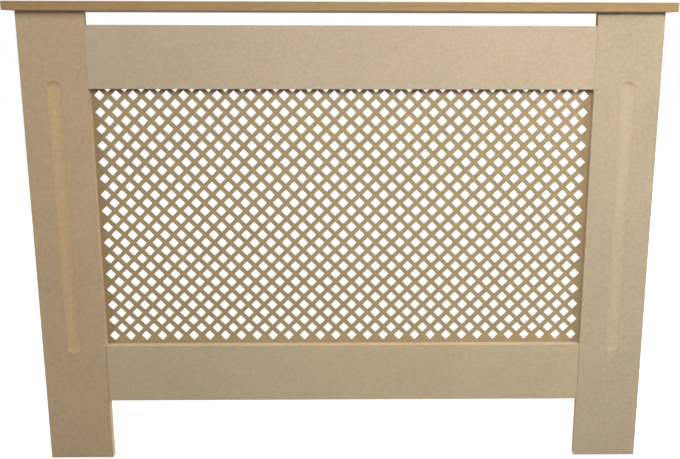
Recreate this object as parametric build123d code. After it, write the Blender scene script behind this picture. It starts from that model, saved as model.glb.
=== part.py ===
from build123d import *
import os
from math import sqrt

# A radiator cover cabinet in unfinished fibreboard: a shelf on two side panels, and in front
# of them a frame of two fluted stiles and two rails that holds a pierced grille.
# Millimetres. X runs along the cabinet, Y from its front to the wall, Z up from the floor.
# The origin is on the floor, under the middle of the shelf.

# Shelf
WIDTH = 1115.0
DEPTH = 190.0
HEIGHT = 815.0
SHELF_THICKNESS = 15.0
SHELF_END_OVERHANG = 16.5
SHELF_FRONT_OVERHANG = 16.5
SHELF_EDGE_RADIUS = 1.5

# Front frame
FRAME_THICKNESS = 15.0
STILE_WIDTH = 113.0
UPPER_RAIL_HEIGHT = 105.0
LOWER_RAIL_HEIGHT = 105.0
OPENING_ARRIS_RADIUS = 1.0
AIR_SLOT = 23.0
FLOOR_GAP = 112.0

# Round-nosed flute down each stile, a little longer than the opening beside it
FLUTE_WIDTH = 24.0
FLUTE_DEPTH = 3.5
FLUTE_INSET = 55.0
FLUTE_OVERRUN = 14.0

# Side panels, cut away low down at the back for the room's skirting board
SIDE_THICKNESS = 15.0
SKIRTING_HEIGHT = 140.0
SKIRTING_DEPTH = 20.0

# Grille: a thin sheet across the frame's back, pierced with squares set on a corner
GRILLE_THICKNESS = 3.0
GRILLE_LAP = 15.0
GRILLE_TOP_LAP = 32.0
HOLE_SIDE = 12.7
HOLE_PITCH = 28.6
HOLE_SIDE_MARGIN = 3.0
HOLE_TOP_MARGIN = 18.0
FIRST_ROW_HEIGHT = 14.5

# Loose tongues, glued into slots across the joints of rails and stiles
TONGUE_THICKNESS = 4.0
TONGUE_LENGTH = 30.0
TONGUE_EDGE_DISTANCE = 15.0
TONGUE_CLEARANCE = 0.1

# Battens in the inner corners, which the boards are fixed through
BATTEN = 20.0
CORNER_BATTEN_FOOT = 60.0
SHELF_BATTEN_SETBACK = 12.0

# Steel angle brackets that hold the cabinet to the wall
BRACKET_LEG = 32.0
BRACKET_WIDTH = 18.0
BRACKET_THICKNESS = 2.0
BRACKET_BEND_RADIUS = 1.0
BRACKET_DROP = 60.0
BRACKET_HOLE_DISTANCE = 20.0
WALL_HOLE_DIAMETER = 5.0
SCREW_HOLE_DIAMETER = 4.0

# Levels and faces that the pieces share
SHELF_UNDERSIDE = HEIGHT - SHELF_THICKNESS
REAR = DEPTH / 2
FRAME_FRONT = SHELF_FRONT_OVERHANG - REAR
FRAME_BACK = FRAME_FRONT + FRAME_THICKNESS
OUTER_FACE = WIDTH / 2 - SHELF_END_OVERHANG
SIDE_INNER_FACE = OUTER_FACE - SIDE_THICKNESS
STILE_INNER_EDGE = OUTER_FACE - STILE_WIDTH
UPPER_RAIL_TOP = SHELF_UNDERSIDE - AIR_SLOT
OPENING_TOP = UPPER_RAIL_TOP - UPPER_RAIL_HEIGHT
OPENING_BOTTOM = FLOOR_GAP + LOWER_RAIL_HEIGHT
GRILLE_HALF_WIDTH = STILE_INNER_EDGE + GRILLE_LAP
GRILLE_BOTTOM = OPENING_BOTTOM - GRILLE_LAP
GRILLE_TOP = OPENING_TOP + GRILLE_TOP_LAP
BRACKET_HEIGHT = SHELF_UNDERSIDE - BRACKET_DROP


def board(x_range, y_range, z_range):
    """A square-edged block that fills the three (low, high) ranges."""
    ranges = (x_range, y_range, z_range)
    size = [high - low for low, high in ranges]
    centre = [(low + high) / 2 for low, high in ranges]
    return Pos(*centre) * Box(*size)


def rod(diameter, start, end):
    """A round rod between two points."""
    run = end - start
    return extrude(Plane(origin=start, z_dir=run) * Circle(diameter / 2), amount=run.length)


def mirrored(piece):
    """The left-hand twin of a right-hand piece."""
    return mirror(piece, about=Plane.YZ)


# ---- Shelf and side panels ----------------------------------------------------------------

def top_shelf():
    """A plain board with its front and end arrises eased; the edge to the wall stays square."""
    shelf = board((-WIDTH / 2, WIDTH / 2), (-REAR, REAR), (SHELF_UNDERSIDE, HEIGHT))
    front = shelf.edges().filter_by(Axis.X).group_by(Axis.Y)[0]
    ends = shelf.edges().filter_by(Axis.Y)
    return fillet(front + ends, SHELF_EDGE_RADIUS)


def right_side_panel():
    across = (SIDE_INNER_FACE, OUTER_FACE)
    panel = board(across, (FRAME_BACK, REAR), (0, SHELF_UNDERSIDE))
    return panel - board(across, (REAR - SKIRTING_DEPTH, REAR), (0, SKIRTING_HEIGHT))


# ---- Loose tongues ------------------------------------------------------------------------

def tongue(rail_low, rail_high, spread=0.0):
    """A flat tongue across the right-hand joint of the stile and a rail of these levels."""
    middle = FRAME_FRONT + FRAME_THICKNESS / 2
    half_length = TONGUE_LENGTH / 2 + spread
    half_thickness = TONGUE_THICKNESS / 2 + spread
    return board((STILE_INNER_EDGE - half_length, STILE_INNER_EDGE + half_length),
                 (middle - half_thickness, middle + half_thickness),
                 (rail_low + TONGUE_EDGE_DISTANCE - spread,
                  rail_high - TONGUE_EDGE_DISTANCE + spread))


def upper_tongue(spread=0.0):
    return tongue(OPENING_TOP, UPPER_RAIL_TOP, spread)


def lower_tongue(spread=0.0):
    return tongue(FLOOR_GAP, OPENING_BOTTOM, spread)


# ---- Front frame --------------------------------------------------------------------------

def flute():
    """The path of a round-nosed cutter: a long capsule that dips into the stile's face."""
    radius = (FLUTE_WIDTH**2 / 4 + FLUTE_DEPTH**2) / (2 * FLUTE_DEPTH)
    centre_x = OUTER_FACE - FLUTE_INSET
    centre_y = FRAME_FRONT + FLUTE_DEPTH - radius
    low = OPENING_BOTTOM - FLUTE_OVERRUN + FLUTE_WIDTH / 2
    high = OPENING_TOP + FLUTE_OVERRUN - FLUTE_WIDTH / 2
    start = Vector(centre_x, centre_y, low)
    end = Vector(centre_x, centre_y, high)
    ends = [Pos(*point) * Sphere(radius) for point in (start, end)]
    return rod(2 * radius, start, end) + ends


def right_stile():
    stile = board((STILE_INNER_EDGE, OUTER_FACE), (FRAME_FRONT, FRAME_BACK),
                  (0, SHELF_UNDERSIDE))
    front = stile.edges().filter_by(Axis.Z).group_by(Axis.Y)[0]
    stile = fillet(front.sort_by(Axis.X)[0], OPENING_ARRIS_RADIUS)
    slots = [upper_tongue(TONGUE_CLEARANCE), lower_tongue(TONGUE_CLEARANCE)]
    return stile - flute() - slots


def rail(low, high, opening_edge, tongue_slot):
    """A rail between the stiles, with its front arris rounded along the opening."""
    piece = board((-STILE_INNER_EDGE, STILE_INNER_EDGE), (FRAME_FRONT, FRAME_BACK), (low, high))
    front = piece.edges().filter_by(Axis.X).group_by(Axis.Y)[0]
    arris = front.filter_by_position(Axis.Z, opening_edge, opening_edge)
    return fillet(arris, OPENING_ARRIS_RADIUS) - tongue_slot - mirrored(tongue_slot)


def upper_rail():
    return rail(OPENING_TOP, UPPER_RAIL_TOP, OPENING_TOP, upper_tongue(TONGUE_CLEARANCE))


def lower_rail():
    return rail(FLOOR_GAP, OPENING_BOTTOM, OPENING_BOTTOM, lower_tongue(TONGUE_CLEARANCE))


# ---- Grille -------------------------------------------------------------------------------

def hole_centres():
    """Rows half a pitch apart, every other one shifted half a pitch sideways."""
    half_diagonal = HOLE_SIDE / sqrt(2)
    first_row = OPENING_BOTTOM + FIRST_ROW_HEIGHT
    clear_width = 2 * (STILE_INNER_EDGE - HOLE_SIDE_MARGIN - half_diagonal)
    clear_height = GRILLE_TOP - HOLE_TOP_MARGIN - half_diagonal - first_row
    columns = int(clear_width / HOLE_PITCH) + 1
    rows = int(clear_height / (HOLE_PITCH / 2)) + 1
    for row in range(rows):
        count = columns - row % 2
        for column in range(count):
            yield (column - (count - 1) / 2) * HOLE_PITCH, first_row + row * HOLE_PITCH / 2


def outline(points):
    """A closed outline through (x, z) points on the sheet's front face."""
    return Wire.make_polygon([(x, FRAME_BACK, z) for x, z in points], close=True)


def square_on_corner(x, z):
    reach = HOLE_SIDE / sqrt(2)
    return outline([(x + reach, z), (x, z + reach), (x - reach, z), (x, z - reach)])


def grille_panel():
    """The pierced sheet: one face with all its holes, given its thickness in one step."""
    side, low, high = GRILLE_HALF_WIDTH, GRILLE_BOTTOM, GRILLE_TOP
    edge = outline([(side, low), (side, high), (-side, high), (-side, low)])
    pierced = Face(edge, [square_on_corner(x, z) for x, z in hole_centres()])
    return extrude(pierced, amount=GRILLE_THICKNESS, dir=(0, 1, 0))


# ---- Battens ------------------------------------------------------------------------------

def right_corner_batten():
    """Upright in the corner of stile and side panel, below the shelf's batten."""
    return board((SIDE_INNER_FACE - BATTEN, SIDE_INNER_FACE), (FRAME_BACK, FRAME_BACK + BATTEN),
                 (CORNER_BATTEN_FOOT, SHELF_UNDERSIDE - BATTEN))


def right_shelf_batten():
    """Along the top of the side panel, under the shelf."""
    return board((SIDE_INNER_FACE - BATTEN, SIDE_INNER_FACE),
                 (FRAME_BACK, REAR - SHELF_BATTEN_SETBACK),
                 (SHELF_UNDERSIDE - BATTEN, SHELF_UNDERSIDE))


# ---- Wall brackets ------------------------------------------------------------------------

def right_wall_bracket():
    """A steel strip bent to a right angle: one leg on the side panel, one on the wall."""
    leg, thick, bend = BRACKET_LEG, BRACKET_THICKNESS, BRACKET_BEND_RADIUS
    profile = make_face(Polyline((0, 0), (-leg, 0), (-leg, -thick), (-thick, -thick),
                                 (-thick, -leg), (0, -leg), close=True))
    for corner, radius in (((0, 0, 0), bend + thick), ((-thick, -thick, 0), bend)):
        profile = fillet(profile.vertices().sort_by_distance(corner)[0], radius)
    foot = Plane((SIDE_INNER_FACE, REAR, BRACKET_HEIGHT - BRACKET_WIDTH / 2))
    bracket = extrude(foot * profile, amount=BRACKET_WIDTH)
    wall_hole = Vector(SIDE_INNER_FACE - BRACKET_HOLE_DISTANCE, REAR, BRACKET_HEIGHT)
    screw_hole = Vector(SIDE_INNER_FACE, REAR - BRACKET_HOLE_DISTANCE, BRACKET_HEIGHT)
    bracket -= rod(WALL_HOLE_DIAMETER, wall_hole - Vector(0, 2 * thick, 0), wall_hole)
    return bracket - rod(SCREW_HOLE_DIAMETER, screw_hole - Vector(2 * thick, 0, 0), screw_hole)


# ---- The pieces, one file each ------------------------------------------------------------

def pair(piece):
    """A right-hand piece and its left-hand twin, kept together."""
    return Compound(children=[piece.solid(), mirrored(piece).solid()])


def pieces():
    stile = right_stile()
    side_panel = right_side_panel()
    corner_batten = right_corner_batten()
    shelf_batten = right_shelf_batten()
    bracket = right_wall_bracket()
    return {
        "top_shelf": top_shelf(),
        "left_side_panel": mirrored(side_panel),
        "right_side_panel": side_panel,
        "left_stile": mirrored(stile),
        "right_stile": stile,
        "upper_rail": upper_rail(),
        "lower_rail": lower_rail(),
        "upper_rail_tongues": pair(upper_tongue()),
        "lower_rail_tongues": pair(lower_tongue()),
        "grille_panel": grille_panel(),
        "left_corner_batten": mirrored(corner_batten),
        "right_corner_batten": corner_batten,
        "left_shelf_batten": mirrored(shelf_batten),
        "right_shelf_batten": shelf_batten,
        "left_wall_bracket": mirrored(bracket),
        "right_wall_bracket": bracket,
    }


os.makedirs("parts", exist_ok=True)
for name, piece in pieces().items():
    export_step(piece, f"parts/{name}.step")
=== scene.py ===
from math import pi, radians

import bmesh
import bpy
from mathutils import Matrix, Vector


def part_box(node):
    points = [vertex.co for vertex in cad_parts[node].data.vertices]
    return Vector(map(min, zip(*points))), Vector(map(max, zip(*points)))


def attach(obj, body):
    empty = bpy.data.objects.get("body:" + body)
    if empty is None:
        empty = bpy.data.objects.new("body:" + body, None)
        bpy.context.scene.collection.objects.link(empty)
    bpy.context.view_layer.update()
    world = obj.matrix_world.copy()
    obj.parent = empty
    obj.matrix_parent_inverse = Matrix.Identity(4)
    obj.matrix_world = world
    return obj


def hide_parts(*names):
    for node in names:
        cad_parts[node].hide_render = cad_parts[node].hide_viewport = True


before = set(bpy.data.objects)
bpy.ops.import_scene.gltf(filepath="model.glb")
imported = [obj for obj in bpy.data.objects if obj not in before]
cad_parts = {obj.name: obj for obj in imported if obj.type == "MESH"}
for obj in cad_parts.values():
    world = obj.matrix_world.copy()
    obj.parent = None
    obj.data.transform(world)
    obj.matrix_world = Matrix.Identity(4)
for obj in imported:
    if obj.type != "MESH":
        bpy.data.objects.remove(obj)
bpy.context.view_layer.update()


# ---- The photograph's view ----------------------------------------------------------------
# A camera 1.65 m in front of the cabinet, a little lower than the shelf and tilted down. The
# picture is cut off-centre, so the lens's axis meets it below and to the right of its middle.

IMAGE_WIDTH = 680
IMAGE_HEIGHT = 459
SENSOR_MM = 36
FOCAL_LENGTH_IN_PIXELS = 959.7
LENS_AXIS_X = 373.5
LENS_AXIS_Y = 270.6
EYE = Vector((0.0222, -1.7304, 0.7679))
PAN = radians(-1.082)
TILT_DOWN = radians(14.01)
ROLL = radians(0.145)

scene = bpy.context.scene
scene.view_settings.view_transform = "Standard"

lens = bpy.data.cameras.new("photograph_view")
lens.sensor_fit = "HORIZONTAL"
lens.sensor_width = SENSOR_MM
lens.lens = SENSOR_MM * FOCAL_LENGTH_IN_PIXELS / IMAGE_WIDTH
lens.shift_x = (IMAGE_WIDTH / 2 - LENS_AXIS_X) / IMAGE_WIDTH
lens.shift_y = (LENS_AXIS_Y - IMAGE_HEIGHT / 2) / IMAGE_WIDTH
camera = bpy.data.objects.new("photograph_view", lens)
camera.matrix_world = (Matrix.Translation(EYE) @ Matrix.Rotation(PAN, 4, "Z")
                       @ Matrix.Rotation(pi / 2 - TILT_DOWN, 4, "X")
                       @ Matrix.Rotation(ROLL, 4, "Z"))
scene.collection.objects.link(camera)
scene.camera = camera


# ---- Shelf --------------------------------------------------------------------------------
# A 15 mm fibreboard shelf, sawn to size, with its front and end arrises eased. Its faces are
# pressed smooth and pale; its sawn edges show the browner, fuzzier core of the board.

SHELF_FACE = (191, 169, 140)
SHELF_EDGE = (168, 138, 96)
SHELF_ARRIS = (182, 157, 120)
BOARD_MOTTLE = 0.09
BOARD_FIBRE = 0.085
BOARD_SHINE = 0.35
BOARD_BUMP = (0.25, 0.0003)
SKIN_DEPTHS = (0.0001, 0.0004)
SIDEWAYS_TO_BROADSIDE = (0.15, 0.45)
CLOUDS_A_METRE, CLOUD_DEPTH = 9, 0.03
BLOTCHES_A_METRE = 150
STREAKS_A_METRE, STREAK_STRETCH, STREAK_DEPTH = 330, 0.12, 0.025
FIBRES_A_METRE, FIBRE_STRETCH = 1500, 0.2
LAYERS_A_METRE, LAYER_STRETCH, LAYER_DEPTH = 520, 0.03, 0.09
TINTS_A_METRE = 60
COOL_TINT = (0.98, 1.005, 1.02, 1)
WARM_TINT = (1.02, 0.995, 0.97, 1)
BOARD_ROUGHNESS = (0.70, 0.82)
SAWN_ROUGHER = 0.12
FACE_FUZZ, SAWN_FUZZ, LAYER_RIDGES = 0.3, 0.8, 0.5
BROKEN_ARRIS = 0.0005
SAME_POINT = 1e-6
FLAT_WITHIN = radians(0.5)
SQUARE_BEYOND = radians(40)
SMOOTH_WITHIN = radians(28)


def srgb(colour):
    """A screen colour, 0 to 255 a channel, as the linear colour that a shader takes."""
    parts = [c / 255 for c in colour]
    linear = [c / 12.92 if c <= 0.04045 else ((c + 0.055) / 1.055) ** 2.4 for c in parts]
    return (*linear, 1.0)


def feed(tree, socket, value):
    """Gives a socket a value, or links it to another node's output."""
    if isinstance(value, bpy.types.NodeSocket):
        tree.links.new(value, socket)
    else:
        socket.default_value = value


def add_node(tree, kind, settings=None, **inputs):
    """A new node with its settings and inputs. in_0 is the first input, and so on."""
    node = tree.nodes.new(kind)
    for name, value in (settings or {}).items():
        setattr(node, name, value)
    for name, value in inputs.items():
        key = int(name[3:]) if name.startswith("in_") else name.replace("_", " ")
        feed(tree, node.inputs[key], value)
    return node


def calculate(tree, operation, *values):
    """The output of a Math node."""
    inputs = {f"in_{index}": value for index, value in enumerate(values)}
    return add_node(tree, "ShaderNodeMath", {"operation": operation}, **inputs).outputs[0]


def vector_sum(tree, operation, *values):
    """The output of a Vector Math node: a number for DOT_PRODUCT and LENGTH."""
    inputs = {f"in_{index}": value for index, value in enumerate(values)}
    node = add_node(tree, "ShaderNodeVectorMath", {"operation": operation}, **inputs)
    return node.outputs["Value" if operation in ("DOT_PRODUCT", "LENGTH") else "Vector"]


def blend(tree, share, low, high):
    """The low colour where share is 0, and the high one where it is 1."""
    settings = {"data_type": "RGBA"}
    return add_node(tree, "ShaderNodeMix", settings, in_0=share, in_6=low, in_7=high).outputs[2]


def remap(tree, value, old, new, kind="LINEAR"):
    """The value moved from one (low, high) range to another."""
    settings = {"interpolation_type": kind}
    return add_node(tree, "ShaderNodeMapRange", settings, Value=value, From_Min=old[0],
                    From_Max=old[1], To_Min=new[0], To_Max=new[1]).outputs[0]


def noise(tree, place, scale, detail=2.0, offset=0.0):
    """Noise from 0 to 1 at a place, with about scale blotches to the metre."""
    moved = vector_sum(tree, "ADD", place, (offset, 1.7 * offset, 2.3 * offset))
    settings = {"noise_dimensions": "3D"}
    return add_node(tree, "ShaderNodeTexNoise", settings, Vector=moved, Scale=scale,
                    Detail=detail, Roughness=0.6).outputs["Fac"]


def shader_group(name, inputs, outputs):
    """An empty shader group with named sockets, its inputs and its output node."""
    tree = bpy.data.node_groups.new(name, "ShaderNodeTree")
    for label, (kind, value) in inputs.items():
        socket = tree.interface.new_socket(label, in_out="INPUT", socket_type=kind)
        socket.default_value = value
    for label, kind in outputs.items():
        tree.interface.new_socket(label, in_out="OUTPUT", socket_type=kind)
    return tree, tree.nodes.new("NodeGroupInput").outputs, tree.nodes.new("NodeGroupOutput")


COLOUR, NUMBER, VECTOR = "NodeSocketColor", "NodeSocketFloat", "NodeSocketVector"
FINISH = {"Colour": COLOUR, "Roughness": NUMBER, "Height": NUMBER}


def lightened(tree, colour, light):
    """The colour times a number."""
    return add_node(tree, "ShaderNodeVectorMath", {"operation": "SCALE"}, in_0=colour,
                    Scale=light).outputs[0]


def give_out(tree, result, colour, roughness, height):
    """Links a finish to its group's outputs, and hands the group back."""
    for label, value in zip(FINISH, (colour, roughness, height)):
        tree.links.new(value, result.inputs[label])
    return tree


def pressed_fibre_group():
    """Wood fibre pressed into a board: pale matted faces, and a core where it has been cut.

    What lies deeper than the faces is core: sawn where it looks sideways, and routed where it
    looks the way that the faces do.
    """
    tree, given, result = shader_group("pressed_fibre", {
        "Face": (COLOUR, srgb(SHELF_FACE)), "Routed": (COLOUR, srgb(SHELF_ARRIS)),
        "Sawn": (COLOUR, srgb(SHELF_EDGE)), "Thickness Axis": (VECTOR, (0, 0, 1)),
        "Middle": (NUMBER, 0.0), "Half Thickness": (NUMBER, 0.0075),
        "Mottle": (NUMBER, BOARD_MOTTLE), "Fibre": (NUMBER, BOARD_FIBRE),
    }, FINISH)
    coordinates = add_node(tree, "ShaderNodeTexCoord").outputs
    place, axis = coordinates["Object"], given["Thickness Axis"]

    along = vector_sum(tree, "DOT_PRODUCT", place, axis)
    off_middle = calculate(tree, "ABSOLUTE", calculate(tree, "SUBTRACT", along, given["Middle"]))
    depth = calculate(tree, "SUBTRACT", given["Half Thickness"], off_middle)
    core = remap(tree, depth, SKIN_DEPTHS, (0, 1), "SMOOTHSTEP")
    broadside = calculate(tree, "ABSOLUTE",
                          vector_sum(tree, "DOT_PRODUCT", coordinates["Normal"], axis))
    sawn = calculate(tree, "MULTIPLY", core,
                     remap(tree, broadside, SIDEWAYS_TO_BROADSIDE, (1, 0), "SMOOTHSTEP"))
    colour = blend(tree, core, given["Face"], given["Routed"])
    colour = blend(tree, sawn, colour, given["Sawn"])

    clouds = remap(tree, noise(tree, place, CLOUDS_A_METRE, 2, 3), (0.3, 0.7),
                   (-CLOUD_DEPTH, CLOUD_DEPTH))
    blotches = remap(tree, noise(tree, place, BLOTCHES_A_METRE, 3, 11), (0.25, 0.75), (-1, 1))
    lengthwise = vector_sum(tree, "MULTIPLY", place, (STREAK_STRETCH, 1, 1))
    streaks = remap(tree, noise(tree, lengthwise, STREAKS_A_METRE, 3, 23), (0.3, 0.7),
                    (-STREAK_DEPTH, STREAK_DEPTH))
    level = vector_sum(tree, "MULTIPLY", place, (FIBRE_STRETCH, 1, 1))
    upright = vector_sum(tree, "MULTIPLY", place, (1, 1, FIBRE_STRETCH))
    matted = calculate(tree, "MULTIPLY", noise(tree, level, FIBRES_A_METRE, 2, 5),
                       noise(tree, upright, FIBRES_A_METRE, 2, 7))
    fibres = remap(tree, matted, (0.1, 0.45), (-1, 1))
    in_plane = vector_sum(tree, "MULTIPLY", vector_sum(tree, "SUBTRACT", (1, 1, 1), axis),
                          (LAYER_STRETCH,) * 3)
    layered = vector_sum(tree, "MULTIPLY", place, vector_sum(tree, "ADD", in_plane, axis))
    layers = remap(tree, noise(tree, layered, LAYERS_A_METRE, 3, 17), (0.3, 0.7), (-1, 1))

    light = calculate(tree, "MULTIPLY_ADD", blotches, given["Mottle"], clouds)
    light = calculate(tree, "MULTIPLY_ADD", fibres, given["Fibre"], light)
    marks = calculate(tree, "MULTIPLY", layers,
                      calculate(tree, "MULTIPLY", sawn, LAYER_DEPTH))
    light = calculate(tree, "ADD", calculate(tree, "ADD", light, marks), 1.0)
    light = calculate(tree, "ADD", light, streaks)
    warmth = remap(tree, noise(tree, place, TINTS_A_METRE, 3, 31), (0.3, 0.7), (0, 1))
    colour = vector_sum(tree, "MULTIPLY", lightened(tree, colour, light),
                        blend(tree, warmth, COOL_TINT, WARM_TINT))
    rough = calculate(tree, "MULTIPLY_ADD", sawn, SAWN_ROUGHER,
                      remap(tree, blotches, (-1, 1), BOARD_ROUGHNESS))
    fuzz = calculate(tree, "MULTIPLY_ADD", sawn, SAWN_FUZZ, FACE_FUZZ)
    height = calculate(tree, "MULTIPLY_ADD", layers,
                       calculate(tree, "MULTIPLY", sawn, LAYER_RIDGES),
                       calculate(tree, "MULTIPLY", fibres, fuzz))
    return give_out(tree, result, colour, rough, height)


pressed_fibre = pressed_fibre_group()


def new_material(name, **fixed):
    """A material, its tree and its Principled shader, whose plain inputs are set here."""
    material = bpy.data.materials.new(name)
    material.use_nodes = True
    shader = material.node_tree.nodes["Principled BSDF"]
    for label, value in fixed.items():
        shader.inputs[label.replace("_", " ")].default_value = value
    return material, material.node_tree, shader


def use_group(tree, group, **values):
    """A group in a material's tree, with its own values; colours are screen colours."""
    node = add_node(tree, "ShaderNodeGroup", {"node_tree": group})
    for label, value in values.items():
        socket = node.inputs[label.replace("_", " ")]
        socket.default_value = srgb(value) if socket.type == "RGBA" else value
    return node.outputs


def dress(tree, shader, group, bump):
    """Feeds a shader from a group's finish. The bump is its strength and its height."""
    strength, height = bump
    bump = add_node(tree, "ShaderNodeBump", Strength=strength, Distance=height,
                    Height=group["Height"])
    tree.links.new(group["Colour"], shader.inputs["Base Color"])
    tree.links.new(group["Roughness"], shader.inputs["Roughness"])
    tree.links.new(bump.outputs[0], shader.inputs["Normal"])


def fibreboard(name, node, axis, face, routed, sawn, mottle=BOARD_MOTTLE, fibre=BOARD_FIBRE):
    """Bare fibreboard for a CAD piece whose pressed faces look along an axis, 0 to 2."""
    low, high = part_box(node)
    material, tree, shader = new_material(name, Specular_IOR_Level=BOARD_SHINE)
    group = use_group(tree, pressed_fibre, Face=face, Routed=routed, Sawn=sawn,
                      Thickness_Axis=[float(index == axis) for index in range(3)],
                      Middle=(low[axis] + high[axis]) / 2,
                      Half_Thickness=(high[axis] - low[axis]) / 2, Mottle=mottle, Fibre=fibre)
    dress(tree, shader, group, BOARD_BUMP)
    return material


def smoothed(piece):
    """The piece shaded smooth round its small curves and flat on its faces."""
    piece.data.shade_smooth()
    piece.data.set_sharp_from_angle(angle=SMOOTH_WITHIN)
    weighted = piece.modifiers.new("flat_faces_stay_flat", "WEIGHTED_NORMAL")
    weighted.keep_sharp = True
    return piece


def eased(node, name, ease=BROKEN_ARRIS):
    """The CAD piece as one closed mesh, its square outer arrises broken with fine paper."""
    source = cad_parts[node].data
    mesh = bpy.data.meshes.new(name)
    mesh.from_pydata([v.co for v in source.vertices], [], [p.vertices for p in source.polygons])
    shape = bmesh.new()
    shape.from_mesh(mesh)
    bmesh.ops.remove_doubles(shape, verts=shape.verts, dist=SAME_POINT)
    bmesh.ops.dissolve_limit(shape, angle_limit=FLAT_WITHIN, verts=shape.verts,
                             edges=shape.edges)
    arrises = [edge for edge in shape.edges
               if edge.is_manifold and edge.is_convex and edge.calc_face_angle() > SQUARE_BEYOND]
    bmesh.ops.bevel(shape, geom=arrises, offset=ease, segments=2, profile=0.5,
                    affect="EDGES", clamp_overlap=True)
    shape.to_mesh(mesh)
    shape.free()
    piece = bpy.data.objects.new(name, mesh)
    scene.collection.objects.link(piece)
    return smoothed(piece)


def seat(piece, node, material):
    """The piece stands for a CAD node, on the cabinet's one body."""
    piece.data.materials.append(material)
    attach(piece, "root")
    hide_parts(node)


seat(eased("top_shelf", "shelf"), "top_shelf",
     fibreboard("fibreboard_shelf", "top_shelf", 2, SHELF_FACE, SHELF_ARRIS, SHELF_EDGE))


# ---- Side panels --------------------------------------------------------------------------
# Two upright 15 mm fibreboard panels behind the legs, sawn to size and cut away low down at
# the back for the skirting board. Battens hold them to the legs and the shelf.

SIDE_FACE = (187, 166, 137)
SIDE_EDGE = (172, 145, 107)

for hand in ("left", "right"):
    node = f"{hand}_side_panel"
    seat(eased(node, f"{hand}_side"), node,
         fibreboard(f"fibreboard_{hand}_side", node, 0, SIDE_FACE, SIDE_EDGE, SIDE_EDGE))


# ---- Legs ---------------------------------------------------------------------------------
# The front legs are fibreboard, each routed with one shallow flute and a rounded inner arris.
# The router bares the board's paler core, and each board has its own tone of face. The edges
# are painted pale as a highlight on the left leg and dark as shade on the right leg. Each flute
# has painted shade at its upper end, and glue and painted shade brown the seams at the rails.

LEG_FACES = {"left": (190, 165, 132), "right": (185, 167, 140)}
# The legs' edges carry painted light: pale as a highlight on the left leg, dark as shade on the
# right.
LEG_EDGES_LIT_AND_SHADED = {"left": (218, 193, 158), "right": (176, 153, 121)}
LEG_CORES = {"left": (200, 173, 130), "right": (194, 175, 145)}
FLUTE_MIDDLE = 0.486
FLUTE_RADIUS = 0.012
FLUTE_TOP = 0.686
# Painted shade at each flute's upper end, darkest at its upper rim.
FLUTE_END_SHADE_TO = 0.74
FLUTE_END_SHADE_REACH = 0.012
FLUTE_END_SHADE_DEEPEST = 0.005
FRAME_ARRIS = 0.00015
# The seams at the rails: glue brown and painted shade, stronger at the lower rail.
SEAM_GLUE_AND_SHADE = (120, 92, 62)
SEAM_HALF_WIDTH = 0.0005
SEAM_GLUE_AND_SHADE_STRENGTH = {"upper_rail": 0.12, "lower_rail": 0.55}


def glue_and_shade_seams(tree, colour):
    """The colour, browned by glue and by painted shade where a leg's inner edge meets the end of
    a rail.
    """
    place = add_node(tree, "ShaderNodeTexCoord").outputs["Object"]
    along = add_node(tree, "ShaderNodeSeparateXYZ", None, Vector=place).outputs
    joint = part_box("upper_rail")[1].x
    off_joint = calculate(tree, "SUBTRACT", calculate(tree, "ABSOLUTE", along["X"]), joint)
    at_joint = calculate(tree, "LESS_THAN", calculate(tree, "ABSOLUTE", off_joint),
                         SEAM_HALF_WIDTH)
    beside = []
    for rail, strength in SEAM_GLUE_AND_SHADE_STRENGTH.items():
        low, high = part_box(rail)
        off_middle = calculate(tree, "SUBTRACT", along["Z"], (low.z + high.z) / 2)
        within = calculate(tree, "LESS_THAN", calculate(tree, "ABSOLUTE", off_middle),
                           (high.z - low.z) / 2)
        beside.append(calculate(tree, "MULTIPLY", within, strength))
    share = calculate(tree, "MULTIPLY", at_joint, calculate(tree, "ADD", *beside))
    return blend(tree, share, colour, srgb(SEAM_GLUE_AND_SHADE))


def flute_end_painted_shade(tree, colour, middle, deepest):
    """The colour, darkened by painted shade at a flute's upper end, where its rounded end faces
    down.
    """
    place = add_node(tree, "ShaderNodeTexCoord").outputs["Object"]
    at = add_node(tree, "ShaderNodeSeparateXYZ", None, Vector=place).outputs
    across = calculate(tree, "SUBTRACT", at["X"], middle)
    up = calculate(tree, "SUBTRACT", at["Z"], FLUTE_TOP - FLUTE_RADIUS)
    from_centre = add_node(tree, "ShaderNodeCombineXYZ", None, X=across, Y=up).outputs[0]
    reach = vector_sum(tree, "LENGTH", from_centre)
    rim = remap(tree, reach, (FLUTE_RADIUS - FLUTE_END_SHADE_REACH, FLUTE_RADIUS), (0, 1))
    inside = calculate(tree, "MULTIPLY", calculate(tree, "LESS_THAN", reach, FLUTE_RADIUS),
                       calculate(tree, "LESS_THAN", at["Y"], deepest))
    end_shade = calculate(tree, "MULTIPLY", rim, remap(tree, up, (0, FLUTE_RADIUS), (0, 1)))
    end_shade = calculate(tree, "MULTIPLY", end_shade, inside)
    return lightened(tree, colour, remap(tree, end_shade, (0, 1), (1, FLUTE_END_SHADE_TO)))


def marked(material, mark, *places):
    """The material with a mark drawn over its colour."""
    tree = material.node_tree
    colour = tree.nodes["Principled BSDF"].inputs["Base Color"]
    tree.links.new(mark(tree, colour.links[0].from_socket, *places), colour)
    return material


def frame_board(name, node, face, core, edge):
    """Fibreboard for a leg or a rail, with glue and painted shade in its seams."""
    return marked(fibreboard(name, node, 1, face, core, edge), glue_and_shade_seams)


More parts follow.
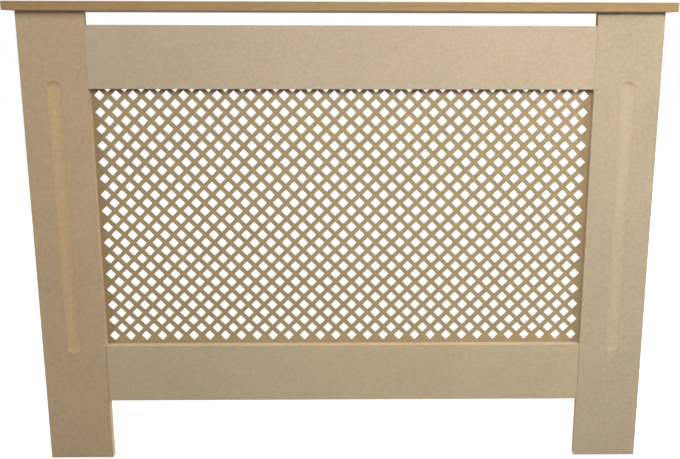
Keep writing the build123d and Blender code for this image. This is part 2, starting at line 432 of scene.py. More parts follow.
for hand, side in (("left", -1), ("right", 1)):
    node = f"{hand}_stile"
    material = frame_board(f"fibreboard_{hand}_leg", node, LEG_FACES[hand], LEG_CORES[hand],
                           LEG_EDGES_LIT_AND_SHADED[hand])
    # Painted shade at the flute's upper end.
    marked(material, flute_end_painted_shade, side * FLUTE_MIDDLE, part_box(node)[0].y + FLUTE_END_SHADE_DEEPEST)
    seat(eased(node, f"{hand}_leg", FRAME_ARRIS), node, material)


# ---- Rails --------------------------------------------------------------------------------
# Two 15 mm fibreboard rails between the legs, each routed round along the edge at the grille's
# opening. They are glued and tongued to the legs, flush with them in front.

RAIL_FACES = {"upper": (191, 171, 146), "lower": (192, 172, 141)}
# Painted light on the rails' edges: the lower rail's upward edge is pale as a highlight, the
# upper rail's downward edge is dark as shade.
RAIL_EDGES_LIT_AND_SHADED = {"upper": (172, 145, 107), "lower": (230, 211, 180)}

for level in ("upper", "lower"):
    node = f"{level}_rail"
    seat(eased(node, f"{level}_front_rail", FRAME_ARRIS), node,
         frame_board(f"fibreboard_{level}_rail", node, RAIL_FACES[level], RAIL_EDGES_LIT_AND_SHADED[level],
                     RAIL_EDGES_LIT_AND_SHADED[level]))


# ---- Loose tongues ------------------------------------------------------------------------
# Short strips of brown hardboard, glued into slots across the joints of legs and rails, where
# nothing of them shows once the frame is closed up.

TONGUE_FACE = (118, 88, 60)
TONGUE_EDGE = (132, 100, 70)

for level in ("upper", "lower"):
    node = f"{level}_rail_tongues"
    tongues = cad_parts[node]
    tongues.data.materials.clear()
    tongues.data.materials.append(
        fibreboard(f"hardboard_{level}_tongues", node, 1, TONGUE_FACE, TONGUE_EDGE, TONGUE_EDGE))


# ---- Grille -------------------------------------------------------------------------------
# A 3 mm fibre sheet across the frame's back, browner than the boards. It is pierced with
# squares set on a corner, in rows half a pitch apart, and the upper rail hides half a row.

HOLE_SIDE = 0.0127
HOLE_CORNER = 0.0004
HOLE_PITCH = 0.0286
HOLE_COLUMNS = 30
HOLE_ROW_PAIRS = 16
FIRST_ROW = 0.0295
SHEET_FACE = (171, 148, 110)
SHEET_ROUTED = (160, 135, 97)
SHEET_CUT = (132, 105, 72)
SHEET_MOTTLE = 0.06
SHEET_FIBRE = 0.1


def geometry_group(name, inputs):
    """An empty Geometry Nodes tree with named inputs, its inputs and its output node."""
    tree = bpy.data.node_groups.new(name, "GeometryNodeTree")
    shape = "NodeSocketGeometry"
    tree.interface.new_socket("Geometry", in_out="INPUT", socket_type=shape)
    for label, (kind, value) in inputs.items():
        socket = tree.interface.new_socket(label, in_out="INPUT", socket_type=kind)
        if value is not None:
            socket.default_value = value
    tree.interface.new_socket("Geometry", in_out="OUTPUT", socket_type=shape)
    return tree, tree.nodes.new("NodeGroupInput").outputs, tree.nodes.new("NodeGroupOutput")


def moved(tree, shape, **change):
    """A shape after a Transform Geometry node."""
    return add_node(tree, "GeometryNodeTransform", None, Geometry=shape, **change).outputs[0]


def joined(tree, *shapes):
    """Several shapes as one."""
    node = tree.nodes.new("GeometryNodeJoinGeometry")
    for shape in shapes:
        tree.links.new(shape, node.inputs[0])
    return node.outputs[0]


def vector(tree, x=0.0, y=0.0, z=0.0):
    """A vector from three numbers or outputs."""
    return add_node(tree, "ShaderNodeCombineXYZ", None, X=x, Y=y, Z=z).outputs[0]


def finished(tree, shape, material, result):
    """Ends a tree: real geometry, with its material."""
    real = add_node(tree, "GeometryNodeRealizeInstances", None, Geometry=shape).outputs[0]
    coated = add_node(tree, "GeometryNodeSetMaterial", None, Geometry=real, Material=material)
    tree.links.new(coated.outputs[0], result.inputs[0])


def grown(name, tree, start=None, **values):
    """A plain mesh piece: what the tree makes with these values for its named inputs."""
    piece = bpy.data.objects.new(name, start or bpy.data.meshes.new(name))
    scene.collection.objects.link(piece)
    modifier = piece.modifiers.new(tree.name, "NODES")
    modifier.node_group = tree
    sockets = {item.name: item.identifier for item in tree.interface.items_tree
               if item.in_out == "INPUT"}
    for label, value in values.items():
        modifier[sockets[label.replace("_", " ")]] = value
    depsgraph = bpy.context.evaluated_depsgraph_get()
    mesh = bpy.data.meshes.new_from_object(piece.evaluated_get(depsgraph), depsgraph=depsgraph)
    piece.modifiers.remove(modifier)
    piece.data = mesh
    return piece


WHOLE, STUFF = "NodeSocketInt", "NodeSocketMaterial"


def pierced_sheet_tree():
    """A sheet standing on the X axis, with its face at Y 0 and its thickness behind it."""
    tree, given, result = geometry_group("pierced_sheet", {
        "Sheet Width": (NUMBER, 0.5), "Sheet Height": (NUMBER, 0.3),
        "Sheet Thickness": (NUMBER, 0.003), "Hole Side": (NUMBER, HOLE_SIDE),
        "Hole Corner": (NUMBER, HOLE_CORNER),
        "Pitch": (NUMBER, HOLE_PITCH), "Columns": (WHOLE, 10), "Row Pairs": (WHOLE, 5),
        "First Row": (NUMBER, FIRST_ROW), "Front Left Foot": (VECTOR, (0, 0, 0)),
        "Sheet Material": (STUFF, None)})
    width, height, pitch = given["Sheet Width"], given["Sheet Height"], given["Pitch"]
    edge = add_node(tree, "GeometryNodeCurvePrimitiveQuadrilateral", None,
                    Width=width, Height=height).outputs[0]
    middle = vector(tree, calculate(tree, "MULTIPLY", width, 0.5),
                    calculate(tree, "MULTIPLY", height, 0.5))
    edge = moved(tree, edge, Translation=middle)
    side = given["Hole Side"]
    square = add_node(tree, "GeometryNodeCurvePrimitiveQuadrilateral", None,
                      Width=side, Height=side).outputs[0]
    square = add_node(tree, "GeometryNodeFilletCurve", {"mode": "POLY"}, Curve=square, Count=2,
                      Radius=given["Hole Corner"]).outputs[0]
    diamond = moved(tree, square, Rotation=(0, 0, pi / 4))

    outlines = [edge]
    for short_by in (0, 1):
        columns = calculate(tree, "SUBTRACT", given["Columns"], short_by)
        spans = calculate(tree, "SUBTRACT", columns, 1)
        row_spans = calculate(tree, "SUBTRACT", given["Row Pairs"], 1)
        row_length = calculate(tree, "MULTIPLY", spans, pitch)
        rows_height = calculate(tree, "MULTIPLY", row_spans, pitch)
        grid = add_node(tree, "GeometryNodeMeshGrid", None, Size_X=row_length,
                        Size_Y=rows_height, Vertices_X=columns, Vertices_Y=given["Row Pairs"])
        first = calculate(tree, "MULTIPLY_ADD", pitch, short_by / 2, given["First Row"])
        centre = vector(tree, calculate(tree, "MULTIPLY", width, 0.5),
                        calculate(tree, "MULTIPLY_ADD", rows_height, 0.5, first))
        points = moved(tree, grid.outputs[0], Translation=centre)
        holes = add_node(tree, "GeometryNodeInstanceOnPoints", None, Points=points,
                         Instance=diamond).outputs[0]
        outlines.append(add_node(tree, "GeometryNodeRealizeInstances", None,
                                 Geometry=holes).outputs[0])

    face = add_node(tree, "GeometryNodeFillCurve", {"mode": "TRIANGLES"},
                    Curve=joined(tree, *outlines)).outputs[0]
    turned = add_node(tree, "GeometryNodeFlipFaces", None, Mesh=face).outputs[0]
    walls = add_node(tree, "GeometryNodeExtrudeMesh", {"mode": "FACES"}, Mesh=turned,
                     Offset=(0, 0, -1), Offset_Scale=given["Sheet Thickness"], Individual=False)
    whole = add_node(tree, "GeometryNodeMergeByDistance", None, Distance=SAME_POINT,
                     Geometry=joined(tree, face, walls.outputs[0])).outputs[0]
    upright = moved(tree, whole, Rotation=(pi / 2, 0, 0), Translation=given["Front Left Foot"])
    finished(tree, upright, given["Sheet Material"], result)
    return tree


low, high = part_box("grille_panel")
sheet = fibreboard("pierced_fibre_sheet", "grille_panel", 1, SHEET_FACE, SHEET_ROUTED, SHEET_CUT,
                   SHEET_MOTTLE, SHEET_FIBRE)
grille = grown("grille", pierced_sheet_tree(), Sheet_Width=high.x - low.x,
               Sheet_Height=high.z - low.z, Sheet_Thickness=high.y - low.y,
               Hole_Side=HOLE_SIDE, Hole_Corner=HOLE_CORNER, Pitch=HOLE_PITCH,
               Columns=HOLE_COLUMNS, Row_Pairs=HOLE_ROW_PAIRS, First_Row=FIRST_ROW,
               Front_Left_Foot=low, Sheet_Material=sheet)
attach(grille, "root")
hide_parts("grille_panel")


# ---- Staples ------------------------------------------------------------------------------
# Zinc-plated wire staples, shot from behind through the sheet's border into the frame. Only
# their crowns show, each a little off true and bent down into the sheet at both ends.

STAPLE_CROWN = 0.011
STAPLE_LEG = 0.002
STAPLE_WIRE_WIDTH = 0.0012
STAPLE_WIRE_THICKNESS = 0.0006
STAPLE_STANDS_PROUD = 0.0002
STAPLE_SPACING = 0.105
STAPLE_INSET = 0.0075
STAPLE_TOP_INSET = 0.010
STAPLE_WANDER = 0.0012
STAPLE_TURN = radians(5)
STAPLE_SEED = 11
STAPLE_POINTS = 13
STAPLE_BEND = 8
ZINC_BUMP = (0.15, 0.0002)
SPECKS_A_METRE = 2400
ZINC_BRIGHT = (200, 201, 200)
ZINC_DULL = (160, 162, 163)


def plated_steel_group():
    """Zinc plating: softly clouded, with small dull specks."""
    tree, given, result = shader_group("plated_steel", {
        "Bright": (COLOUR, srgb(ZINC_BRIGHT)), "Dull": (COLOUR, srgb(ZINC_DULL)),
        "Cloud Scale": (NUMBER, 220.0), "Smoothest": (NUMBER, 0.28), "Roughest": (NUMBER, 0.5),
    }, FINISH)
    place = add_node(tree, "ShaderNodeTexCoord").outputs["Object"]
    clouds = noise(tree, place, given["Cloud Scale"], 3)
    specks = remap(tree, noise(tree, place, SPECKS_A_METRE, 2, 4), (0.60, 0.70), (0, 1))
    dull = calculate(tree, "MAXIMUM", remap(tree, clouds, (0.35, 0.65), (0, 1)), specks)
    dulling = calculate(tree, "SUBTRACT", given["Roughest"], given["Smoothest"])
    rough = calculate(tree, "MULTIPLY_ADD", dull, dulling, given["Smoothest"])
    colour = blend(tree, dull, given["Bright"], given["Dull"])
    return give_out(tree, result, colour, rough, clouds)


plated_steel = plated_steel_group()


def zinc_plate(name, **values):
    """Zinc-plated steel, with its own values for the plating."""
    material, tree, shader = new_material(name, Metallic=1.0)
    dress(tree, shader, use_group(tree, plated_steel, **values), ZINC_BUMP)
    return material


def staple_tree():
    """Staples along two pairs of borders, drawn flat and then turned to face the wall."""
    tree, given, result = geometry_group("staples", {
        "Border Width": (NUMBER, 0.8), "Border Height": (NUMBER, 0.4),
        "Spacing": (NUMBER, STAPLE_SPACING), "Crown": (NUMBER, STAPLE_CROWN),
        "Leg": (NUMBER, STAPLE_LEG), "Wire Width": (NUMBER, STAPLE_WIRE_WIDTH),
        "Wire Thickness": (NUMBER, STAPLE_WIRE_THICKNESS), "Wander": (NUMBER, STAPLE_WANDER),
        "Turn": (NUMBER, STAPLE_TURN), "Seed": (WHOLE, STAPLE_SEED),
        "Middle": (VECTOR, (0, 0, 0)), "Wire Material": (STUFF, None)})
    half = calculate(tree, "MULTIPLY", given["Crown"], 0.5)
    line = add_node(tree, "GeometryNodeCurvePrimitiveLine", None, End=vector(tree, half),
                    Start=vector(tree, calculate(tree, "MULTIPLY", half, -1))).outputs[0]
    line = add_node(tree, "GeometryNodeResampleCurve", None, Curve=line,
                    Count=STAPLE_POINTS).outputs[0]
    place = add_node(tree, "GeometryNodeInputPosition").outputs[0]
    along = add_node(tree, "ShaderNodeSeparateXYZ", None, Vector=place).outputs["X"]
    share = calculate(tree, "ABSOLUTE", calculate(tree, "DIVIDE", along, half))
    drop = calculate(tree, "MULTIPLY", calculate(tree, "POWER", share, STAPLE_BEND),
                     given["Leg"])
    bent = add_node(tree, "GeometryNodeSetPosition", None, Geometry=line,
                    Offset=vector(tree, z=calculate(tree, "MULTIPLY", drop, -1))).outputs[0]
    level = add_node(tree, "GeometryNodeSetCurveNormal", {"mode": "Z_UP"}, Curve=bent).outputs[0]
    section = add_node(tree, "GeometryNodeCurvePrimitiveQuadrilateral", None,
                       Width=given["Wire Width"], Height=given["Wire Thickness"]).outputs[0]
    staple = add_node(tree, "GeometryNodeCurveToMesh", None, Curve=level,
                      Profile_Curve=section, Fill_Caps=True).outputs[0]

    sides = []
    turn_back = calculate(tree, "MULTIPLY", given["Turn"], -1)
    wander_back = calculate(tree, "MULTIPLY", given["Wander"], -1)
    for run, apart, quarter in ((given["Border Width"], given["Border Height"], 0),
                                (given["Border Height"], given["Border Width"], pi / 2)):
        count = calculate(tree, "FLOOR", calculate(tree, "DIVIDE", run, given["Spacing"]))
        from_end = calculate(tree, "DIVIDE", run, count)
        grid = add_node(tree, "GeometryNodeMeshGrid", None, Vertices_X=count, Vertices_Y=2,
                        Size_X=calculate(tree, "SUBTRACT", run, from_end), Size_Y=apart)
        wander = add_node(tree, "FunctionNodeRandomValue", {"data_type": "FLOAT_VECTOR"},
                          in_0=vector(tree, wander_back, wander_back), Seed=given["Seed"],
                          in_1=vector(tree, given["Wander"], given["Wander"])).outputs[0]
        spots = add_node(tree, "GeometryNodeSetPosition", None, Geometry=grid.outputs[0],
                         Offset=wander).outputs[0]
        turn = add_node(tree, "FunctionNodeRandomValue", {"data_type": "FLOAT"}, in_2=turn_back,
                        in_3=given["Turn"], Seed=given["Seed"]).outputs[1]
        row = add_node(tree, "GeometryNodeInstanceOnPoints", None, Points=spots,
                       Instance=staple, Rotation=vector(tree, z=turn)).outputs[0]
        sides.append(moved(tree, row, Rotation=(0, 0, quarter)))
    upright = moved(tree, joined(tree, *sides), Rotation=(pi / 2, 0, pi),
                    Translation=given["Middle"])
    finished(tree, upright, given["Wire Material"], result)
    return tree


border_foot, border_top = low.z + STAPLE_INSET, high.z - STAPLE_TOP_INSET
staples = grown("staples", staple_tree(), Border_Width=high.x - low.x - 2 * STAPLE_INSET,
                Border_Height=border_top - border_foot, Spacing=STAPLE_SPACING,
                Crown=STAPLE_CROWN, Leg=STAPLE_LEG, Wire_Width=STAPLE_WIRE_WIDTH,
                Wire_Thickness=STAPLE_WIRE_THICKNESS, Wander=STAPLE_WANDER, Turn=STAPLE_TURN,
                Seed=STAPLE_SEED, Wire_Material=zinc_plate("staple_wire"),
                Middle=((low.x + high.x) / 2, high.y + STAPLE_STANDS_PROUD,
                        (border_foot + border_top) / 2))
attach(staples, "root")


# ---- Battens ------------------------------------------------------------------------------
# Planed pine battens in the inner corners: an upright behind each leg, and one under each end
# of the shelf. Their arrises are sanded off, and they are bored and countersunk for screws.

PINE_EARLY = (224, 194, 148)
PINE_LATE = (193, 150, 100)
PINE_RING = 0.0032
PINE_SHINE = 0.3
PINE_BUMP = (0.2, 0.0002)
RING_WAVES_A_METRE, RING_WANDER = 45, 0.012
THREADS_A_METRE, THREAD_DEPTH = 1800, 0.05
PINE_CLOUDS_A_METRE, PINE_CLOUD_RANGE = 18, (0.95, 1.05)
WAVE_STRETCH, THREAD_STRETCH = 0.06, 0.02
HEART_OUTSIDE = 0.018
PINE_ROUGHNESS = (0.56, 0.7)
BATTEN_ARRIS = 0.0011
SCREW_HEAD_RADIUS = 0.0038
SCREW_SHANK_RADIUS = 0.0018
SCREW_LENGTH = 0.03
SCREW_LEVELS = (0.10, 0.31, 0.52, 0.70)
LEG_SCREW_RISE = 0.05
SHELF_SCREW_DEPTHS = (-0.025, 0.045)
SIDE_SCREW_SHIFT = 0.02
SUNK = 0.0003
BORE_CLEARANCE = 0.0002
CUT_ABOVE = 0.0005
ROUND = 24


def pine_group():
    """Planed softwood: rings round a heart line, with fine fibres drawn out along the grain."""
    tree, given, result = shader_group("pine", {
        "Early": (COLOUR, srgb(PINE_EARLY)), "Late": (COLOUR, srgb(PINE_LATE)),
        "Grain Axis": (VECTOR, (0, 0, 1)), "Heart": (VECTOR, (0, 0, 0)),
        "Ring": (NUMBER, PINE_RING),
    }, FINISH)
    place = add_node(tree, "ShaderNodeTexCoord").outputs["Object"]
    axis = given["Grain Axis"]
    flat = vector_sum(tree, "MULTIPLY", place, vector_sum(tree, "SUBTRACT", (1, 1, 1), axis))
    along = vector_sum(tree, "MULTIPLY", place, axis)
    drawn_out, threads = (
        vector_sum(tree, "ADD", flat, vector_sum(tree, "MULTIPLY", along, (stretch,) * 3))
        for stretch in (WAVE_STRETCH, THREAD_STRETCH))

    from_heart = vector_sum(tree, "LENGTH", vector_sum(tree, "SUBTRACT", flat, given["Heart"]))
    radius = calculate(tree, "MULTIPLY_ADD", noise(tree, drawn_out, RING_WAVES_A_METRE, 2),
                       RING_WANDER, from_heart)
    phase = calculate(tree, "FRACT", calculate(tree, "DIVIDE", radius, given["Ring"]))
    late = calculate(tree, "MULTIPLY", remap(tree, phase, (0.4, 0.9), (0, 0.8), "SMOOTHSTEP"),
                     remap(tree, phase, (0.93, 1.0), (1, 0)))
    fibres = remap(tree, noise(tree, threads, THREADS_A_METRE, 2, 6), (0.25, 0.75), (-1, 1))
    clouds = remap(tree, noise(tree, drawn_out, PINE_CLOUDS_A_METRE, 2, 9), (0.3, 0.7),
                   PINE_CLOUD_RANGE)
    light = calculate(tree, "MULTIPLY_ADD", fibres, THREAD_DEPTH, clouds)
    colour = lightened(tree, blend(tree, late, given["Early"], given["Late"]), light)
    rough = remap(tree, fibres, (-1, 1), PINE_ROUGHNESS)
    height = calculate(tree, "MULTIPLY_ADD", fibres, 0.5, late)
    return give_out(tree, result, colour, rough, height)


pine = pine_group()


def round_bar(tree, radius, length, top):
    """A round bar down the Z axis from a level."""
    bar = add_node(tree, "GeometryNodeMeshCylinder", None, Vertices=ROUND, Radius=radius,
                   Depth=length).outputs[0]
    return moved(tree, bar, Translation=vector(tree, z=calculate(
        tree, "MULTIPLY_ADD", length, -0.5, top)))


def cone_down(tree, top_radius, foot_radius, vertices=ROUND):
    """A cone at 45 degrees, its wide flat face at the origin and its foot below."""
    depth = calculate(tree, "SUBTRACT", top_radius, foot_radius)
    cone = add_node(tree, "GeometryNodeMeshCone", None, Vertices=vertices, Depth=depth,
                    Radius_Top=top_radius, Radius_Bottom=foot_radius).outputs[0]
    return moved(tree, cone, Translation=vector(tree, z=calculate(tree, "MULTIPLY", depth, -1)))


def at_facing_points(tree, shape, seed):
    """The shape on each point, its Z axis along the point's facing, spun by chance."""
    facing = add_node(tree, "GeometryNodeInputNamedAttribute", {"data_type": "FLOAT_VECTOR"},
                      Name="facing").outputs[0]
    aligned = add_node(tree, "FunctionNodeAlignRotationToVector", {"axis": "Z"},
                       Vector=facing).outputs[0]
    points = tree.nodes["Group Input"].outputs["Geometry"]
    placed = add_node(tree, "GeometryNodeInstanceOnPoints", None, Points=points,
                      Instance=shape, Rotation=aligned).outputs[0]
    spin = add_node(tree, "FunctionNodeRandomValue", {"data_type": "FLOAT"}, in_2=0.0,
                    in_3=pi / 2, Seed=seed).outputs[1]
    return add_node(tree, "GeometryNodeRotateInstances", None, Instances=placed,
                    Rotation=vector(tree, z=spin)).outputs[0]


def bore_tree():
    """What a countersinking drill takes out at each point."""
    tree, given, result = geometry_group("countersunk_bores", {
        "Head Radius": (NUMBER, SCREW_HEAD_RADIUS), "Shank Radius": (NUMBER, SCREW_SHANK_RADIUS),
        "Bore Length": (NUMBER, SCREW_LENGTH), "Bore Material": (STUFF, None)})
    cone = cone_down(tree, calculate(tree, "ADD", given["Head Radius"], SUNK + CUT_ABOVE),
                     given["Shank Radius"])
    bore_radius = calculate(tree, "ADD", given["Shank Radius"], BORE_CLEARANCE)
    bore = round_bar(tree, bore_radius, given["Bore Length"], -CUT_ABOVE)
    both = add_node(tree, "GeometryNodeMeshBoolean", {"operation": "UNION"}).inputs["Mesh 2"]
    for shape in (cone, bore):
        tree.links.new(shape, both)
    lifted = moved(tree, both.node.outputs[0], Translation=(0, 0, CUT_ABOVE))
    finished(tree, at_facing_points(tree, lifted, 0), given["Bore Material"], result)
    return tree


def facing_points(name, places):
    """A mesh of loose points, each with the way that a screw's head looks there."""
    mesh = bpy.data.meshes.new(name)
    mesh.from_pydata([place for place, _ in places], [], [])
    facing = mesh.attributes.new("facing", "FLOAT_VECTOR", "POINT")
    for entry, (_, direction) in zip(facing.data, places):
        entry.vector = direction
    return mesh


def corner_screws(hand):
    """Screw heads on an upright batten: some into the side panel, some into the leg."""
    low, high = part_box(f"{hand}_corner_batten")
    inner, inward = (low.x, (-1, 0, 0)) if hand == "right" else (high.x, (1, 0, 0))
    places = [((inner, (low.y + high.y) / 2, level), inward) for level in SCREW_LEVELS]
    return places + [(((low.x + high.x) / 2, high.y, level + LEG_SCREW_RISE), (0, 1, 0))
                     for level in SCREW_LEVELS]


def shelf_screws(hand):
    """Screw heads on a batten under the shelf: some up into it, some into the side panel."""
    low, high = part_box(f"{hand}_shelf_batten")
    inner, inward = (low.x, (-1, 0, 0)) if hand == "right" else (high.x, (1, 0, 0))
    places = [(((low.x + high.x) / 2, y, low.z), (0, 0, -1)) for y in SHELF_SCREW_DEPTHS]
    return places + [((inner, y + SIDE_SCREW_SHIFT, (low.z + high.z) / 2), inward)
                     for y in SHELF_SCREW_DEPTHS]


def bored(piece, places):
    """The piece with a countersunk bore at each place."""
    drill = grown("drill", bores, facing_points("drill", places), Bore_Material=None,
                  Head_Radius=SCREW_HEAD_RADIUS, Shank_Radius=SCREW_SHANK_RADIUS,
                  Bore_Length=SCREW_LENGTH)
    piece.modifiers.clear()
    cut = piece.modifiers.new("bored", "BOOLEAN")
    cut.object = drill
    depsgraph = bpy.context.evaluated_depsgraph_get()
    piece.data = bpy.data.meshes.new_from_object(piece.evaluated_get(depsgraph),
                                                 depsgraph=depsgraph)
    piece.modifiers.clear()
    bpy.data.objects.remove(drill)
    return smoothed(piece)


bores = bore_tree()
for hand in ("left", "right"):
    for node, axis, screws in ((f"{hand}_corner_batten", 2, corner_screws(hand)),
                               (f"{hand}_shelf_batten", 1, shelf_screws(hand))):
        low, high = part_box(node)
        material, tree, shader = new_material(f"pine_{node}", Specular_IOR_Level=PINE_SHINE)
        grain = [float(index == axis) for index in range(3)]
        heart = [0.0 if index == axis else low[index] - HEART_OUTSIDE for index in range(3)]
        dress(tree, shader, use_group(tree, pine, Grain_Axis=grain, Heart=heart), PINE_BUMP)
        seat(bored(eased(node, f"pine_{node}", BATTEN_ARRIS), screws), node, material)


# ---- Screws -------------------------------------------------------------------------------
# Zinc-plated cross-headed wood screws, 4 x 30, that pull the legs, the side panels and the
# shelf to the battens. Each sits just below the batten's face, turned as it stopped.

RECESS_WIDTH = 0.0042
RECESS_REACH_SHARE = 1.3
RECESS_SLOT_SHARE = 0.27
RECESS_DEPTH_SHARES = (0.45, 0.48)
DOME_HEIGHT_SHARE = 0.6
DOME_RINGS = 12
THREAD_CORE_SHARE = 0.9
SCREW_SEED = 5


def recessed(tree, shape, top):
    """The shape with a tapered cross sunk into it from a level."""
    wing = add_node(tree, "GeometryNodeMeshCone", None, Vertices=4, Radius_Top=RECESS_WIDTH / 2,
                    Radius_Bottom=RECESS_WIDTH / 8, Depth=RECESS_WIDTH).outputs[0]
    wing = moved(tree, wing, Rotation=(0, 0, pi / 4))
    across = (RECESS_REACH_SHARE, RECESS_SLOT_SHARE, 1)
    along = (RECESS_SLOT_SHARE, RECESS_REACH_SHARE, 1)
    for scale, depth in zip((across, along), RECESS_DEPTH_SHARES):
        foot = vector(tree, z=calculate(tree, "SUBTRACT", top, depth * RECESS_WIDTH))
        cut = add_node(tree, "GeometryNodeMeshBoolean", {"operation": "DIFFERENCE"})
        tree.links.new(shape, cut.inputs["Mesh 1"])
        tree.links.new(moved(tree, wing, Scale=scale, Translation=foot), cut.inputs["Mesh 2"])
        shape = cut.outputs[0]
    return shape


def screw_tree(name, domed):
    """Cross-headed screws on points, with flat countersunk heads or domed ones."""
    tree, given, result = geometry_group(name, {
        "Head Radius": (NUMBER, SCREW_HEAD_RADIUS), "Shank Radius": (NUMBER, SCREW_SHANK_RADIUS),
        "Length": (NUMBER, SCREW_LENGTH), "Seed": (WHOLE, SCREW_SEED),
        "Screw Material": (STUFF, None)})
    if domed:
        ball = add_node(tree, "GeometryNodeMeshUVSphere", None, Segments=ROUND, Rings=DOME_RINGS,
                        Radius=given["Head Radius"]).outputs[0]
        head = moved(tree, ball, Scale=(1, 1, DOME_HEIGHT_SHARE))
        top = calculate(tree, "MULTIPLY", given["Head Radius"], DOME_HEIGHT_SHARE)
    else:
        head = cone_down(tree, given["Head Radius"], given["Shank Radius"])
        top = 0.0
    core = calculate(tree, "MULTIPLY", given["Shank Radius"], THREAD_CORE_SHARE)
    shank = round_bar(tree, core, given["Length"], -SUNK)
    whole = add_node(tree, "GeometryNodeMeshBoolean", {"operation": "UNION"})
    for shape in (head, shank):
        tree.links.new(shape, whole.inputs["Mesh 2"])
    screw = recessed(tree, whole.outputs[0], top)
    sunk = moved(tree, screw, Translation=(0, 0, 0 if domed else -SUNK))
    finished(tree, at_facing_points(tree, sunk, given["Seed"]), given["Screw Material"], result)
    return tree


def drive(name, tree, places, length=SCREW_LENGTH):
    """Screws at their places, on the cabinet's one body."""
    screws = grown(name, tree, facing_points(name, places), Head_Radius=SCREW_HEAD_RADIUS,
                   Shank_Radius=SCREW_SHANK_RADIUS, Length=length, Seed=SCREW_SEED,
                   Screw_Material=screw_zinc)
    screws.data.shade_smooth()
    screws.data.set_sharp_from_angle(angle=SMOOTH_WITHIN)
    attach(screws, "root")


screw_zinc = zinc_plate("screw_zinc", Cloud_Scale=500.0, Smoothest=0.22, Roughest=0.4)
drive("batten_screws", screw_tree("countersunk_screws", False),
      [place for hand in ("left", "right") for place in corner_screws(hand) + shelf_screws(hand)])


# ---- Wall brackets ------------------------------------------------------------------------
# Zinc-plated steel strips bent to a right angle, each held to its side panel by one domed
# screw. The hole in the other leg is left for a screw into the wall.

BRACKET_THICKNESS = 0.002
BRACKET_ARRIS = 0.0002
BRACKET_SCREW_FROM_WALL = 0.02
BRACKET_SCREW_LENGTH = 0.013
BRACKET_BRIGHT = (154, 156, 157)
BRACKET_DULL = (130, 133, 135)
BRACKET_SMOOTHEST = 0.48
BRACKET_ROUGHEST = 0.66

bracket_zinc = zinc_plate("bracket_zinc", Cloud_Scale=160.0, Bright=BRACKET_BRIGHT,
                          Dull=BRACKET_DULL, Smoothest=BRACKET_SMOOTHEST,
                          Roughest=BRACKET_ROUGHEST)
bracket_screws = []
for hand, inward in (("left", 1), ("right", -1)):
    node = f"{hand}_wall_bracket"
    low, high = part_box(node)
    seat(eased(node, f"{hand}_bracket", BRACKET_ARRIS), node, bracket_zinc)
    face = (low.x if inward > 0 else high.x) + inward * BRACKET_THICKNESS
    place = (face, high.y - BRACKET_SCREW_FROM_WALL, (low.z + high.z) / 2)
    bracket_screws.append((place, (inward, 0, 0)))
drive("bracket_screws", screw_tree("domed_screws", True), bracket_screws, BRACKET_SCREW_LENGTH)


# ---- Floor and light ----------------------------------------------------------------------
# A plain floor that the eye and mirrors see as brighter than it is lit, so the ground stays
# white round a soft shadow. Soft white lamps stand round the camera, a little stronger on the
# right, as in the photograph; the rest light the cabinet's back.

FLOOR_HALF_SIZE = 9.0
FLOOR_WHITE = 0.35
FLOOR_GLOW = 0.8
FAR_GLOW = 1.0
GLOW_RISES = (0.9, 2.4)
ROOM_LIGHT = 0.03


def seen_directly(tree):
    """1 where the eye, a mirror or clear glass looks, and 0 where a matt surface gathers."""
    path = tree.nodes.new("ShaderNodeLightPath").outputs
    looked = calculate(tree, "MAXIMUM", path["Is Camera Ray"], path["Is Glossy Ray"])
    return calculate(tree, "MAXIMUM", looked, path["Is Transmission Ray"])


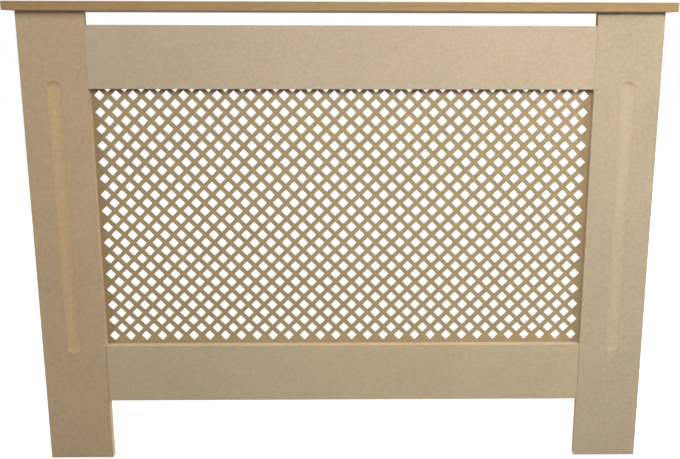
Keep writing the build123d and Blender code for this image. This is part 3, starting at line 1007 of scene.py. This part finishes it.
mesh = bpy.data.meshes.new("floor")
corners = [(x * FLOOR_HALF_SIZE, y * FLOOR_HALF_SIZE, 0)
           for x, y in ((-1, -1), (1, -1), (1, 1), (-1, 1))]
mesh.from_pydata(corners, [], [(0, 1, 2, 3)])
floor = bpy.data.objects.new("floor", mesh)
scene.collection.objects.link(floor)
material, tree, shader = new_material("white_floor", Roughness=1.0, Specular_IOR_Level=0.0,
                                      Base_Color=(FLOOR_WHITE, FLOOR_WHITE, FLOOR_WHITE, 1),
                                      Emission_Color=(1, 1, 1, 1))
place = add_node(tree, "ShaderNodeTexCoord").outputs["Object"]
glow = remap(tree, vector_sum(tree, "LENGTH", place), GLOW_RISES, (FLOOR_GLOW, FAR_GLOW))
glow = calculate(tree, "MULTIPLY", seen_directly(tree), glow)
tree.links.new(glow, shader.inputs["Emission Strength"])
mesh.materials.append(material)

world = bpy.data.worlds.new("white_room")
world.use_nodes = True
scene.world = world
tree = world.node_tree
background = tree.nodes["Background"]
looked = seen_directly(tree)
background.inputs["Color"].default_value = (1, 1, 1, 1)
tree.links.new(remap(tree, looked, (0, 1), (ROOM_LIGHT, 1.0)), background.inputs["Strength"])


def softbox(name, place, aim, size, power, spread=180):
    """A broad lamp at a place, turned to a point, its width and height in size."""
    lamp = bpy.data.lights.new(name, "AREA")
    lamp.shape = "RECTANGLE"
    lamp.size, lamp.size_y = size
    lamp.energy = power
    lamp.spread = radians(spread)
    body = bpy.data.objects.new(name, lamp)
    body.location = place
    body.rotation_euler = (Vector(aim) - Vector(place)).to_track_quat("-Z", "Y").to_euler()
    scene.collection.objects.link(body)


softbox("beside_camera", (0.45, -1.5, 1.25), (0.1, 0, 0.5), (0.8, 0.3), 8)
softbox("over_camera", (0, -2.2, 1.5), (0.9, 0, 0.6), (0.9, 0.3), 3.4, spread=70)
softbox("ceiling", (0.2, -1.5, 2.6), (0, 0, 0.4), (2, 2), 1.5)
softbox("left", (-2.6, -2, 1.9), (0, 0, 0.5), (1.2, 1.2), 39.5)
softbox("right", (2.6, -2, 1.9), (0, 0, 0.5), (1.2, 1.2), 42)
softbox("behind_left", (-2.2, 1.5, 1.5), (0, 0.2, 0.4), (1.4, 1.4), 45)
softbox("behind_right", (2.2, 1.5, 1.5), (0, 0.2, 0.4), (1.4, 1.4), 45)
softbox("above_wall", (0, 0.7, 2.4), (0, 0.2, 0.8), (1, 1), 16)
